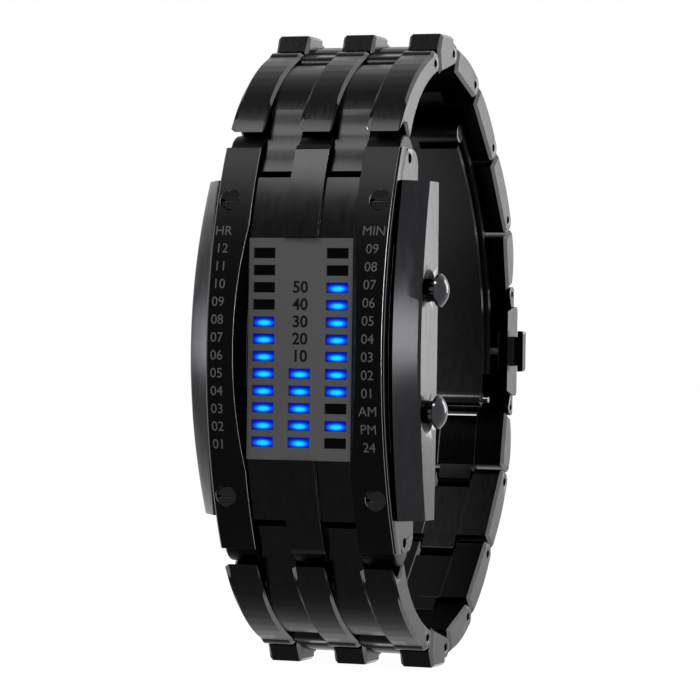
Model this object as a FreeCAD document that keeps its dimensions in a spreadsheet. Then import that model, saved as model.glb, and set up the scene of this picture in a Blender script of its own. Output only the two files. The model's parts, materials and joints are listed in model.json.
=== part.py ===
"""Binary wristwatch on a five-bar link bracelet, closed on a folding clasp.

Every piece is drawn in the watch frame: X towards 3 o'clock, Y from the dial to the clasp, Z
towards 12 o'clock, with the middle of the front face at zero. The upper half of the bracelet is
worked out from the strap pin to the clasp, and the lower half is the same half turned over.
"""
import FreeCAD, Part
import math
import os

SIZES = [
    # case, seen from the front
    ("case_half_width", 11.0),
    ("case_front_radius", 53.8),
    ("case_back_plane", 10.2),
    ("case_block_end", 20.05),
    ("cavity_half_width", 8.0),
    ("cavity_half_height", 14.9),
    ("cavity_front", 4.0),
    ("lug_end", 23.55),
    ("lug_back", 11.4),
    ("lug_start", 18.6),
    ("centre_bar_end", 23.95),
    ("inner_bar_recess", 0.45),
    # rails beside the dial
    ("rail_thickness", 1.8),
    ("rail_end", 23.65),
    ("rail_face_inner", 7.6),
    ("rail_edge_bevel", 0.25),
    ("rail_screw_x", 9.3),
    ("rail_screw_z", 17.35),
    ("rail_screw_head_radius", 1.25),
    ("rail_screw_head_height", 0.8),
    ("rail_screw_sink", 0.15),
    ("rail_screw_shank_radius", 0.6),
    ("rail_screw_length", 4.2),
    # dial plate and its windows
    ("panel_half_width", 6.5),
    ("panel_half_height", 12.95),
    ("panel_depth", 2.0),
    ("panel_thickness", 0.7),
    ("dial_rise", 0.15),
    ("window_pitch_x", 4.534),
    ("window_pitch_z", 2.0),
    ("window_width", 2.7),
    ("window_height", 1.22),
    ("led_depth", 0.25),
    ("seat_clearance", 0.04),
    # electronic module
    ("baffle_thickness", 1.3),
    ("board_thickness", 0.8),
    ("board_half_width", 7.7),
    ("board_half_height", 14.7),
    ("chip_side", 5.0),
    ("chip_thickness", 0.9),
    ("battery_radius", 6.2),
    ("battery_thickness", 2.0),
    ("battery_spacing", 13.6),
    ("battery_clip_thickness", 0.3),
    # case back
    ("back_half_width", 10.2),
    ("back_half_height", 17.9),
    ("back_thickness", 1.0),
    ("back_corner_radius", 2.5),
    ("back_screw_x", 9.0),
    ("back_screw_z", 16.7),
    ("back_screw_head_radius", 0.8),
    ("back_screw_head_height", 0.5),
    ("back_screw_shank_radius", 0.4),
    ("back_screw_length", 2.4),
    # guards on both flanks
    ("guard_end", 19.75),
    ("guard_outer_middle", 14.35),
    ("guard_outer_end", 13.8),
    ("guard_front_inner", 11.5),
    ("guard_inner_y_middle", 1.75),
    ("guard_inner_y_end", 4.5),
    ("guard_outer_y_middle", 3.1),
    ("guard_outer_y_end", 7.2),
    ("guard_back_middle", 9.4),
    ("guard_back_end", 10.8),
    ("guard_edge", 0.45),
    # pushers
    ("pusher_y", 6.5),
    ("pusher_z", 7.05),
    ("pusher_stem_radius", 1.35),
    ("pusher_head_radius", 1.95),
    ("pusher_head_base", 15.3),
    ("pusher_head_rim", 0.55),
    ("pusher_dome", 0.75),
    ("pusher_shoulder", 10.65),
    ("pusher_rod_radius", 0.6),
    ("pusher_rod_end", 6.9),
    ("pusher_pocket", 9.3),
    ("pusher_clip_radius", 1.15),
    ("pusher_clip_thickness", 0.3),
    ("pusher_seal_section", 0.3),
    ("pusher_notch_radius", 2.5),
    ("pusher_notch_depth", 1.3),
    ("pusher_travel", 0.9),
    ("running_clearance", 0.04),
    # bracelet
    ("bar_pitch", 4.24),
    ("bar_bevel", 0.35),
    ("link_half_thickness", 1.5),
    ("link_nose_radius", 1.65),
    ("link_end_gap", 0.2),
    ("link_crown", 0.4),
    ("link_pin_radius", 0.5),
    ("pin_inset", 0.25),
    ("strap_pin_y", 8.4),
    ("strap_pin_z", 22.45),
    ("strap_pin_radius", 0.6),
    ("link_1_pitch", 15.66),
    ("link_2_pitch", 7.08),
    ("link_3_pitch", 9.2),
    ("link_4_pitch", 10.7),
    ("link_5_pitch", 11.0),
    ("link_6_pitch", 10.1),
    ("link_1_angle", 49.2),
    ("link_2_angle", 14.3),
    ("link_3_angle", -19.5),
    ("link_4_angle", -43.5),
    ("link_5_angle", -53.5),
    ("link_6_angle", -70.0),
    ("end_link_height", 3.35),
    ("end_link_reach", 3.45),
    ("end_tongue_reach", 3.55),
    ("foot_half_length", 2.0),
    ("foot_height", 3.0),
    ("foot_shift", 1.2),
    ("wrist_side_recess", 0.1),
    # clasp
    ("knuckle_radius", 1.0),
    ("hinge_pin_radius", 0.4),
    ("cover_plate", 1.2),
    ("cover_wall", 1.0),
    ("cover_depth", 4.1),
    ("cover_half_length", 5.7),
    ("hinge_split", 4.3),
    ("blade_half_width", 8.3),
    ("blade_thickness", 0.8),
    ("blade_inset", 3.1),
    ("blade_spacing", 1.35),
    ("blade_top_angle", 50.5),
    ("blade_b_end_z", -6.2),
    ("blade_eye_radius", 1.15),
    ("blade_eye_reach", 3.0),
    ("button_half_length", 2.6),
    ("button_travel", 0.8),
    ("button_reach", 1.6),
    ("button_height", 1.3),
    ("button_stem_half_length", 1.9),
    ("button_flange", 0.7),
]

doc = FreeCAD.newDocument("BinaryWatch")
sheet = doc.addObject("Spreadsheet::Sheet", "sizes")
for row, (alias, value) in enumerate(SIZES, start=1):
    sheet.set(f"A{row}", alias)
    sheet.set(f"B{row}", str(value))
    sheet.setAlias(f"B{row}", alias)
doc.recompute()

PIECES = []
V = FreeCAD.Vector
X_AXIS = V(1, 0, 0)


def mm(alias):
    """The value of one named size."""
    return float(sheet.get(alias))


def piece(name):
    """A new body that becomes the node of this name."""
    body = doc.addObject("PartDesign::Body", name)
    body.Label = name
    PIECES.append(body)
    return body


def solid_piece(name, shape):
    """A node whose solid is made directly from the named sizes."""
    feature = doc.addObject("Part::Feature", name)
    feature.Label = name
    feature.Shape = shape
    PIECES.append(feature)
    return feature


def via(middle, end):
    """A step of an outline that is an arc through a middle point."""
    return (middle, end)


def curves(path):
    """Lines and arcs along a closed path of points and via() steps."""
    made = []
    here = path[0]
    for step in path[1:] + [path[0]]:
        is_arc = isinstance(step[0], tuple)
        end = step[1] if is_arc else step
        start_v = V(here[0], here[1], 0)
        end_v = V(end[0], end[1], 0)
        if is_arc:
            made.append(Part.Arc(start_v, V(step[0][0], step[0][1], 0), end_v))
        elif start_v.distanceToPoint(end_v) > 1e-6:
            made.append(Part.LineSegment(start_v, end_v))
        here = end
    return made


def sketch(body, plane, path, offset=0.0):
    """A closed outline on one of the body's own planes, moved along the plane's normal."""
    drawing = body.newObject("Sketcher::SketchObject", body.Name + "_outline")
    support = [f for f in body.Origin.OriginFeatures if f.Role == plane][0]
    drawing.AttachmentSupport = (support, [""])
    drawing.MapMode = "FlatFace"
    drawing.AttachmentOffset = FreeCAD.Placement(V(0, 0, offset), FreeCAD.Rotation())
    paths = path if isinstance(path[0], list) else [path]
    for one in paths:
        for curve in curves(one):
            drawing.addGeometry(curve)
    return drawing


def pad(body, drawing, length, symmetric=True, reverse=False):
    """A pad whose length is an expression of the sheet's sizes."""
    made = body.newObject("PartDesign::Pad", body.Name + "_pad")
    made.Profile = drawing
    made.Midplane = symmetric
    made.Reversed = reverse
    made.setExpression("Length", length)
    doc.recompute()
    return made


def pocket(body, drawing, length, symmetric=True, reverse=False):
    """A pocket whose depth is an expression of the sheet's sizes; it has to remove material."""
    before = body.Shape.Volume
    made = body.newObject("PartDesign::Pocket", body.Name + "_pocket")
    made.Profile = drawing
    made.Midplane = symmetric
    made.Reversed = reverse
    made.setExpression("Length", length)
    doc.recompute()
    if body.Shape.Volume > before - 1e-6:
        raise RuntimeError(body.Label + ": a pocket removes nothing")
    return made


def bore(body, centre, direction, radius, length):
    """A round hole from a point along a direction, with its sizes as expressions."""
    made = body.newObject("PartDesign::SubtractiveCylinder", body.Name + "_bore")
    made.Placement = FreeCAD.Placement(V(*centre), FreeCAD.Rotation(V(0, 0, 1), V(*direction)))
    made.setExpression("Radius", radius)
    made.setExpression("Height", length)
    doc.recompute()
    return made


def bevel(body, size, chosen):
    """A bevel on every edge of the body that chosen(edge) accepts."""
    base = body.Tip
    names = [f"Edge{i}" for i, edge in enumerate(base.Shape.Edges, start=1) if chosen(edge)]
    made = body.newObject("PartDesign::Chamfer", body.Name + "_bevel")
    made.Base = (base, names)
    made.setExpression("Size", size)
    doc.recompute()
    return made


def spun(name, profile, x_axis_point):
    """A node turned about a line along X through a point; the profile is (x, radius)."""
    body = piece(name)
    drawing = sketch(body, "XY_Plane", profile)
    turned = body.newObject("PartDesign::Revolution", name + "_turned")
    turned.Profile = drawing
    turned.ReferenceAxis = ([f for f in body.Origin.OriginFeatures if f.Role == "X_Axis"][0], [""])
    turned.Angle = 360
    body.Placement = FreeCAD.Placement(V(*x_axis_point), FreeCAD.Rotation())
    doc.recompute()
    return body


def front(z, depth=0.0):
    """Depth in Y of the domed front at a height, for a surface so far below it."""
    radius = mm("case_front_radius")
    return radius - math.sqrt((radius - depth) ** 2 - z * z)


def polar(centre, radius, degrees):
    """A point on a circle."""
    angle = math.radians(degrees)
    return (centre[0] + radius * math.cos(angle), centre[1] + radius * math.sin(angle))


clear = mm("seat_clearance")
run = mm("running_clearance")

# Bracelet geometry: pins of the upper half from the strap pin to the clasp
pins = [(mm("strap_pin_y"), mm("strap_pin_z"))]
angles = [mm(f"link_{k}_angle") for k in range(1, 7)]
pitches = [mm(f"link_{k}_pitch") for k in range(1, 7)]
for angle, pitch in zip(angles, pitches):
    y, z = pins[-1]
    pins.append((y + pitch * math.cos(math.radians(angle)), z + pitch * math.sin(math.radians(angle))))
foot_z = pins[1][1] * 0.5 + pins[2][1] * 0.5 + mm("foot_height")
clasp_y, clasp_z = pins[6]
cover_face = clasp_y + mm("cover_plate")
pusher_tip = mm("pusher_head_base") + mm("pusher_head_rim") + mm("pusher_dome")

# Place of the watch frame in the part's own frame, whose origin is under the middle of its box
HOME = V((mm("guard_outer_middle") - pusher_tip) / 2, -cover_face / 2, foot_z)


# Case body: block, lugs and the bars that carry the bracelet's lines up to the dial
def make_case():
    half = mm("case_half_width")
    back = mm("case_back_plane")
    block = mm("case_block_end")
    under = mm("rail_thickness")
    recess = mm("inner_bar_recess")
    window = mm("panel_half_height")
    body = piece("case_body")
    path = [(back, -block), (front(block, under), -block), via((under, 0), (front(block, under), block)),
            (back, block)]
    pad(body, sketch(body, "YZ_Plane", path), "sizes.case_half_width * 2")

    lug, lug_back, lug_from = mm("lug_end"), mm("lug_back"), mm("lug_start")
    corner = lug - mm("strap_pin_radius")
    lug_path = [(back - 1, lug_from - 2), (front(lug_from, under), lug_from),
                via((front((lug_from + corner) / 2, under), (lug_from + corner) / 2),
                    (front(corner, under), corner)),
                (front(corner, under) + 0.8, lug), (lug_back - 2.0, lug),
                via((lug_back - 0.6, lug - 0.6), (lug_back, lug - 2.0)), (lug_back, lug_from),
                (back, lug_from)]
    bar = mm("bar_pitch")
    lug_inner = 1.5 * bar
    for side in (-1, 1):
        for turned in (False, True):
            steps = lug_path
            if turned:
                steps = [(tuple((p[0], -p[1]) for p in s) if isinstance(s[0], tuple) else (s[0], -s[1]))
                         for s in lug_path]
            offset = lug_inner if side > 0 else -half
            pad(body, sketch(body, "YZ_Plane", steps, offset),
                "sizes.case_half_width - sizes.bar_pitch * 1.5", symmetric=False)
    for low, depth, width, end in ((window, recess, "sizes.bar_pitch * 3", block),
                                   (window, 0.0, "sizes.bar_pitch", mm("centre_bar_end"))):
        shoulder = end - 0.55 if end > block else end
        for sign in (1, -1):
            middle = (low + shoulder) / 2
            steps = [(back, sign * low), (front(low, depth), sign * low),
                     via((front(middle, depth), sign * middle), (front(shoulder, depth), sign * shoulder))]
            if end > block:
                steps += [(front(shoulder, depth) + 0.6, sign * end), (clear_pin_y, sign * end),
                          (back, sign * (end - 1.3))]
            else:
                steps += [(back, sign * end)]
            pad(body, sketch(body, "YZ_Plane", steps), width)
    # display window and the module's cavity
    side, top = mm("panel_half_width"), window
    box = [(-side, -top), (side, -top), (side, top), (-side, top)]
    pocket(body, sketch(body, "XZ_Plane", box, 5.0), "sizes.cavity_front + 5.0 + 0.5", symmetric=False)
    wide, tall = mm("cavity_half_width"), mm("cavity_half_height")
    box = [(-wide, -tall), (wide, -tall), (wide, tall), (-wide, tall)]
    pocket(body, sketch(body, "XZ_Plane", box, -mm("cavity_front")), "sizes.lug_back",
           symmetric=False)
    # slots for the end links' tongues, strap pin holes and screw holes
    for sign in (1, -1):
        for column in (-1, 1):
            bore(body, (column * bar - bar / 2, mm("strap_pin_y"), sign * mm("strap_pin_z")), (1, 0, 0),
                 "sizes.end_tongue_reach + 0.15", "sizes.bar_pitch")
        bore(body, (-half - 1, mm("strap_pin_y"), sign * mm("strap_pin_z")), (1, 0, 0),
             "sizes.strap_pin_radius", "sizes.case_half_width * 2 + 2")
        for column in (-1, 1):
            bore(body, (column * mm("rail_screw_x"), -1, sign * mm("rail_screw_z")), (0, 1, 0),
                 "sizes.rail_screw_shank_radius", "sizes.rail_screw_length + 4.2")
            bore(body, (column * mm("back_screw_x"), back + 1, sign * mm("back_screw_z")), (0, -1, 0),
                 "sizes.back_screw_shank_radius", "sizes.back_screw_length + 0.4")
        # pusher passages in the right wall
        bore(body, (mm("pusher_pocket"), mm("pusher_y"), sign * mm("pusher_z")), (1, 0, 0),
             "sizes.pusher_stem_radius + sizes.running_clearance", "sizes.case_half_width")
        bore(body, (mm("cavity_half_width") - 1, mm("pusher_y"), sign * mm("pusher_z")), (1, 0, 0),
             "sizes.pusher_rod_radius + sizes.running_clearance", "sizes.case_half_width")
    return body


clear_pin_y = mm("strap_pin_y")
make_case()


def make_rail(name, side):
    """One rail: a curved bar beside the dial with a sloped inner flank and bevelled edges."""
    half, inner = mm("case_half_width"), mm("panel_half_width")
    under, end = mm("rail_thickness"), mm("rail_end")
    body = piece(name)
    path = [(front(end, under), -end), (front(end), -end), via((0, 0), (front(end), end)),
            (front(end, under), end), via((under, 0), (front(end, under), -end))]
    offset = inner if side > 0 else -half
    pad(body, sketch(body, "YZ_Plane", path, offset), "sizes.case_half_width - sizes.panel_half_width",
        symmetric=False)
    reach = mm("rail_face_inner")
    slope = (reach - inner) / mm("panel_depth")
    wedge = [(side * (inner - 1), -1.0), (side * (reach + slope), -1.0),
             (side * inner, mm("panel_depth")), (side * (inner - 1), mm("panel_depth"))]
    pocket(body, sketch(body, "XY_Plane", wedge), "sizes.rail_end * 2 + 2")
    for sign in (1, -1):
        z = sign * mm("rail_screw_z")
        x = side * mm("rail_screw_x")
        bore(body, (x, -1, z), (0, 1, 0), "sizes.rail_screw_shank_radius", "sizes.lug_back")
        seat = front(mm("rail_screw_z")) + mm("rail_screw_sink") + mm("rail_screw_head_height")
        bore(body, (x, seat, z), (0, -1, 0), "sizes.rail_screw_head_radius", "sizes.lug_back")

    def on_front_rim(edge):
        middle = edge.valueAt((edge.FirstParameter + edge.LastParameter) / 2)
        along = [abs(abs(v.X) - half) < 1e-4 and abs(v.Y - front(end)) < 1e-3 for v in edge.Vertexes]
        return len(along) == 2 and all(along) and abs(abs(middle.x) - half) < 1e-4

    bevel(body, "sizes.rail_edge_bevel", on_front_rim)


make_rail("rail_left", -1)
make_rail("rail_right", 1)


def slotted_screw(centre, outwards, head_radius, head_height, shank_radius, length):
    """A cheese-head screw with one slot; centre is the middle of the head's outer face."""
    inwards = outwards * -1
    head = Part.makeCylinder(head_radius, head_height, centre, inwards)
    shank = Part.makeCylinder(shank_radius, length, centre, inwards)
    slot_depth = head_height * 0.45
    slot = Part.makeBox(head_radius * 3, head_radius * 0.3, slot_depth + 1)
    slot.translate(V(-head_radius * 1.5, -head_radius * 0.15, -1))
    place = FreeCAD.Placement(centre, FreeCAD.Rotation(V(0, 0, 1), inwards))
    slot.Placement = place.multiply(slot.Placement)
    return head.fuse(shank).removeSplitter().cut(slot)


def make_screws():
    """Four rail screws from the front and four case back screws from behind."""
    face = front(mm("rail_screw_z")) + mm("rail_screw_sink")
    rail = [slotted_screw(V(x * mm("rail_screw_x"), face, z * mm("rail_screw_z")), V(0, -1, 0),
                          mm("rail_screw_head_radius") - clear, mm("rail_screw_head_height"),
                          mm("rail_screw_shank_radius") - clear, mm("rail_screw_length"))
            for x in (-1, 1) for z in (-1, 1)]
    solid_piece("rail_screws", Part.makeCompound(rail))
    face = mm("case_back_plane") + mm("back_thickness") - 0.1
    back = [slotted_screw(V(x * mm("back_screw_x"), face, z * mm("back_screw_z")), V(0, 1, 0),
                          mm("back_screw_head_radius") - clear, mm("back_screw_head_height"),
                          mm("back_screw_shank_radius") - clear, mm("back_screw_length"))
            for x in (-1, 1) for z in (-1, 1)]
    solid_piece("case_back_screws", Part.makeCompound(back))


make_screws()


def make_guard(name, side):
    """A flank guard, lofted through five cross-sections that follow the domed case."""
    body = piece(name)
    end = mm("guard_end")
    edge = mm("guard_edge")
    inner = mm("case_half_width")
    sections = []
    for share in (-1.0, -0.5, 0.0, 0.5, 1.0):
        z = share * end
        grow = share * share
        y_in = mm("guard_inner_y_middle") + (mm("guard_inner_y_end") - mm("guard_inner_y_middle")) * grow
        y_out = mm("guard_outer_y_middle") + (mm("guard_outer_y_end") - mm("guard_outer_y_middle")) * grow
        outer = mm("guard_outer_middle") + (mm("guard_outer_end") - mm("guard_outer_middle")) * grow
        back = mm("guard_back_middle") + (mm("guard_back_end") - mm("guard_back_middle")) * grow
        path = [(side * inner, back), (side * inner, y_in + edge), (side * mm("guard_front_inner"), y_in),
                (side * (outer - edge * 0.6), y_out), (side * outer, y_out + edge), (side * outer, back)]
        sections.append(sketch(body, "XY_Plane", path, z))
    loft = body.newObject("PartDesign::AdditiveLoft", name + "_loft")
    loft.Profile = sections[0]
    loft.Sections = sections[1:]
    loft.Ruled = False
    doc.recompute()
    if side > 0:
        for sign in (1, -1):
            z = sign * mm("pusher_z")
            bore(body, (inner - 1, mm("pusher_y"), z), (1, 0, 0),
                 "sizes.pusher_stem_radius + sizes.running_clearance", "sizes.guard_outer_middle")
            share = mm("pusher_z") / end
            bow = (mm("guard_outer_end") - mm("guard_outer_middle")) * share ** 2
            outer = mm("guard_outer_middle") + bow
            cone = body.newObject("PartDesign::SubtractiveCone", name + "_notch")
            cone.Placement = FreeCAD.Placement(V(outer - mm("pusher_notch_depth"), mm("pusher_y"), z),
                                               FreeCAD.Rotation(V(0, 0, 1), X_AXIS))
            cone.setExpression("Radius1", "sizes.pusher_stem_radius + sizes.running_clearance")
            cone.setExpression("Radius2", "sizes.pusher_notch_radius")
            cone.setExpression("Height", "sizes.pusher_notch_depth + 0.01")
            doc.recompute()


make_guard("guard_left", -1)
make_guard("guard_right", 1)

# Rows of windows by column, counted from the bottom row: every hour, the lower five, every minute
WINDOW_ROWS = {-1: range(12), 0: range(5), 1: range(12)}
LIT_ROWS = {-1: range(8), 0: range(5), 1: [1, 3, 4, 5, 6, 7, 8, 9]}


def window_centres(lit=None):
    """X and Z of the window centres, of all or only the lit or the dark ones."""
    found = []
    for column, rows in WINDOW_ROWS.items():
        for index in rows:
            if lit is None or (index in LIT_ROWS[column]) == lit:
                found.append((column * mm("window_pitch_x"),
                              (index - 5.5) * mm("window_pitch_z") + mm("dial_rise")))
    return found


def rectangle(x, z, width, height):
    """A rectangle's corners about its middle."""
    return [(x - width / 2, z - height / 2), (x + width / 2, z - height / 2),
            (x + width / 2, z + height / 2), (x - width / 2, z + height / 2)]


def make_dial():
    """Dial plate with its windows, and the electronic module that stands behind it."""
    depth = mm("panel_depth")
    wide = (mm("panel_half_width") - clear) * 2
    tall = (mm("panel_half_height") - clear) * 2
    size = (mm("window_width"), mm("window_height"))
    holes = [rectangle(x, z, *size) for x, z in window_centres()]
    panel = piece("display_panel")
    pad(panel, sketch(panel, "XZ_Plane", [rectangle(0, 0, wide, tall)] + holes, -depth),
        "sizes.panel_thickness", symmetric=False, reverse=True)
    baffle = piece("light_baffle")
    shift = depth + mm("panel_thickness")
    pad(baffle, sketch(baffle, "XZ_Plane", [rectangle(0, 0, wide, tall)] + holes, -shift),
        "sizes.baffle_thickness", symmetric=False, reverse=True)
    board_front = shift + mm("baffle_thickness")
    for name, lit in (("lamps_lit", True), ("lamps_dark", False)):
        lamps = []
        for x, z in window_centres(lit):
            corner = V(x - size[0] / 2 + clear, depth + mm("led_depth"), z - size[1] / 2 + clear)
            lamps.append(Part.makeBox(size[0] - 2 * clear, board_front - depth - mm("led_depth"),
                                      size[1] - 2 * clear, corner))
        solid_piece(name, Part.makeCompound(lamps))
    board = piece("circuit_board")
    outside = rectangle(0, 0, mm("board_half_width") * 2, mm("board_half_height") * 2)
    pad(board, sketch(board, "XZ_Plane", outside, -board_front), "sizes.board_thickness",
        symmetric=False, reverse=True)
    behind = board_front + mm("board_thickness")
    chip = piece("driver_chip")
    pad(chip, sketch(chip, "XZ_Plane", rectangle(0, 0, mm("chip_side"), mm("chip_side")), -behind),
        "sizes.chip_thickness", symmetric=False, reverse=True)
    # moulded holder round the battery cells
    holder = piece("module_holder")
    drawing = sketch(holder, "XZ_Plane", outside, -behind)
    cell_front = mm("case_back_plane") - mm("battery_clip_thickness") - mm("battery_thickness")
    pad(holder, drawing, f"sizes.case_back_plane - sizes.battery_clip_thickness - {behind}",
        symmetric=False, reverse=True)
    chip_room = rectangle(0, 0, mm("chip_side") + 1, mm("chip_side") + 1)
    pocket(holder, sketch(holder, "XZ_Plane", chip_room, -behind),
           "sizes.case_back_plane", symmetric=False, reverse=False)
    for sign in (1, -1):
        bore(holder, (0, cell_front, sign * mm("battery_spacing") / 2), (0, 1, 0),
             "sizes.battery_radius + sizes.running_clearance", "sizes.battery_thickness + 5")
        rod_reach = mm("pusher_rod_end") - mm("pusher_travel") - 0.3
        bore(holder, (rod_reach, mm("pusher_y"), sign * mm("pusher_z")), (1, 0, 0),
             "sizes.pusher_clip_radius + 0.1", "sizes.pusher_rod_end")
    cells = [Part.makeCylinder(mm("battery_radius"), mm("battery_thickness"),
                               V(0, cell_front, sign * mm("battery_spacing") / 2), V(0, 1, 0))
             for sign in (1, -1)]
    solid_piece("battery_cells", Part.makeCompound(cells))
    clip = piece("battery_clip")
    clip_front = mm("case_back_plane") - mm("battery_clip_thickness")
    outline = rectangle(0, 0, mm("battery_radius"), mm("battery_spacing") + mm("battery_radius"))
    pad(clip, sketch(clip, "XZ_Plane", outline, -clip_front), "sizes.battery_clip_thickness",
        symmetric=False, reverse=True)


make_dial()


def rounded(half_x, half_z, radius):
    """A rectangle about zero with round corners."""
    bend = radius * (1 - math.sqrt(0.5))
    return [(-half_x + radius, -half_z), (half_x - radius, -half_z),
            via((half_x - bend, -half_z + bend), (half_x, -half_z + radius)), (half_x, half_z - radius),
            via((half_x - bend, half_z - bend), (half_x - radius, half_z)), (-half_x + radius, half_z),
            via((-half_x + bend, half_z - bend), (-half_x, half_z - radius)), (-half_x, -half_z + radius),
            via((-half_x + bend, -half_z + bend), (-half_x + radius, -half_z))]


def make_back():
    """Case back with its countersunk corner holes."""
    back = piece("case_back")
    plane = mm("case_back_plane")
    pad(back, sketch(back, "XZ_Plane", rounded(mm("back_half_width"), mm("back_half_height"),
                                               mm("back_corner_radius")), -plane),
        "sizes.back_thickness", symmetric=False, reverse=True)
    for x in (-1, 1):
        for z in (-1, 1):
            spot = (x * mm("back_screw_x"), plane - 1, z * mm("back_screw_z"))
            bore(back, spot, (0, 1, 0), "sizes.back_screw_shank_radius", "sizes.back_thickness + 2")
            face = plane + mm("back_thickness") - 0.1 - mm("back_screw_head_height")
            bore(back, (spot[0], face, spot[2]), (0, 1, 0), "sizes.back_screw_head_radius",
                 "sizes.back_thickness")


make_back()


def make_pusher(name, sign):
    """A pusher with its spring, seal and retaining clip, all on one axis in the right flank."""
    z = sign * mm("pusher_z")
    y = mm("pusher_y")
    stem, head, rod = mm("pusher_stem_radius"), mm("pusher_head_radius"), mm("pusher_rod_radius")
    base, rim, dome = mm("pusher_head_base"), mm("pusher_head_rim"), mm("pusher_dome")
    groove = mm("pusher_seal_section")
    seal_x = mm("case_half_width") + 0.6
    bead = 0.12
    sphere = ((head - bead) ** 2 + dome ** 2) / (2 * dome)
    half_turn = math.asin((head - bead) / sphere) / 2
    dome_middle = (base + rim + dome - sphere * (1 - math.cos(half_turn)), sphere * math.sin(half_turn))
    profile = [(mm("pusher_rod_end"), 0), (mm("pusher_rod_end"), rod), (mm("pusher_shoulder"), rod),
               (mm("pusher_shoulder"), stem), (seal_x, stem), (seal_x, stem - groove),
               (seal_x + groove * 1.5, stem - groove), (seal_x + groove * 1.5, stem), (base, stem),
               (base, head - bead), (base + bead, head), (base + rim - bead, head),
               (base + rim, head - bead),
               via(dome_middle, (base + rim + dome, 0))]
    spun("pusher_" + name, profile, (0, y, z))
    seal = Part.makeCylinder(stem, groove * 1.5 - 2 * clear, V(seal_x + clear, y, z), X_AXIS)
    seal = seal.cut(Part.makeCylinder(stem - groove, groove * 2, V(seal_x, y, z), X_AXIS))
    solid_piece("pusher_seal_" + name, seal)
    clip_x = mm("cavity_half_width") - mm("pusher_clip_thickness") - 0.05
    clip = Part.makeCylinder(mm("pusher_clip_radius"), mm("pusher_clip_thickness"), V(clip_x, y, z), X_AXIS)
    clip = clip.cut(Part.makeCylinder(rod, 1, V(clip_x - 0.2, y, z), X_AXIS))
    solid_piece("pusher_clip_" + name, clip)
    length = mm("pusher_shoulder") - mm("pusher_pocket")
    spring = Part.makeCylinder(stem - 0.15, length, V(mm("pusher_pocket"), y, z), X_AXIS)
    spring = spring.cut(Part.makeCylinder(rod + 0.1, length * 2, V(mm("pusher_pocket") - 0.5, y, z), X_AXIS))
    solid_piece("pusher_spring_" + name, spring)


make_pusher("upper", 1)
make_pusher("lower", -1)


def make_strap_pins():
    """Spring bars through lugs, tongues and the case's centre bar."""
    length = 2 * (mm("case_half_width") - mm("pin_inset"))
    bars = [Part.makeCylinder(mm("strap_pin_radius") - clear, length,
                              V(-length / 2, mm("strap_pin_y"), sign * mm("strap_pin_z")), X_AXIS)
            for sign in (1, -1)]
    solid_piece("strap_pins", Part.makeCompound(bars))


make_strap_pins()


# Bracelet links, each drawn along +Y from its own pin, outer side up
def bar_outline(number, inset=0.0):
    """Side outline of an outer bar, drawn in by a bevel; the far pin is one pitch along Y."""
    pitch = pitches[number - 1]
    thick = mm("link_half_thickness") - inset
    nose = mm("link_nose_radius") - inset
    begin = mm("link_nose_radius") + mm("link_end_gap") + inset
    crown = mm("link_crown")
    mid = (begin + pitch) / 2
    far_end = [(pitch, thick), via((pitch + nose, 0.0), (pitch, -thick))]
    if number == 1:
        reach = mm("end_link_reach") + inset
        near = [polar((0, 0), reach, 30.0), via(polar((0, 0), reach, 52.0), polar((0, 0), reach, 74.0))]
        low_start = (mm("end_link_reach") * 0.72 + inset, -0.3 + inset)
        rise = mm("end_link_height") - 0.45 - inset
        return [low_start] + near + [via((pitch * 0.52, rise), far_end[0]), far_end[1],
                                     via((pitch * 0.54, -0.25 + inset), low_start)]
    if number == 2:
        # the outer face has a level flat, on which the closed watch stands
        flat = [foot_point(-1, inset), foot_point(1, inset)]
        return [(begin, -thick), (begin, thick), flat[0], flat[1], far_end[0], far_end[1]]
    if number == 6:
        end = pitch - 1.5 - inset
        return [(begin, -thick), (begin, thick), via((mid, thick * 0.45), (end, -0.4 - inset)),
                (end, -2.4 + inset), via((mid, -2.15 + inset), (begin, -thick))]
    return [(begin, -thick), (begin, thick), via((mid, thick + crown), far_end[0]), far_end[1]]


def foot_point(side, inset):
    """One end of the level flat on link 2, in the link's own frame."""
    lean = math.radians(angles[1])
    dy = (pins[2][0] - pins[1][0]) / 2 + mm("foot_shift") + side * mm("foot_half_length")
    dz = foot_z - pins[1][1] - inset
    return (dy * math.cos(lean) + dz * math.sin(lean), -dy * math.sin(lean) + dz * math.cos(lean))


def core_outline(number):
    """Side outline of the recessed inner bars between the two pins of a link."""
    pitch = pitches[number - 1]
    shallow = mm("wrist_side_recess")
    thick = mm("link_half_thickness") - shallow
    top = mm("link_half_thickness") - mm("inner_bar_recess")
    begin = mm("link_nose_radius") + mm("link_end_gap")
    finish = pitch - begin
    mid = (begin + finish) / 2
    if number == 1:
        start = mm("end_link_reach") + 0.55
        rise = mm("end_link_height") - 1.05
        return [(start, -0.1), (start, rise - 0.1), via((pitch * 0.55, rise), (finish, top + 0.2)),
                (finish, -1.0), via((pitch * 0.6, -0.05), (start, -0.1))]
    if number == 6:
        finish = pitch - 1.9
        return [(begin, -thick), (begin, top), via((mid, top * 0.45), (finish, -0.9)), (finish, -2.2),
                via((mid, -1.95), (begin, -thick))]
    return [(begin, -thick), (begin, top), via((mid, top + mm("link_crown")), (finish, top)),
            (finish, -thick)]


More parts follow.
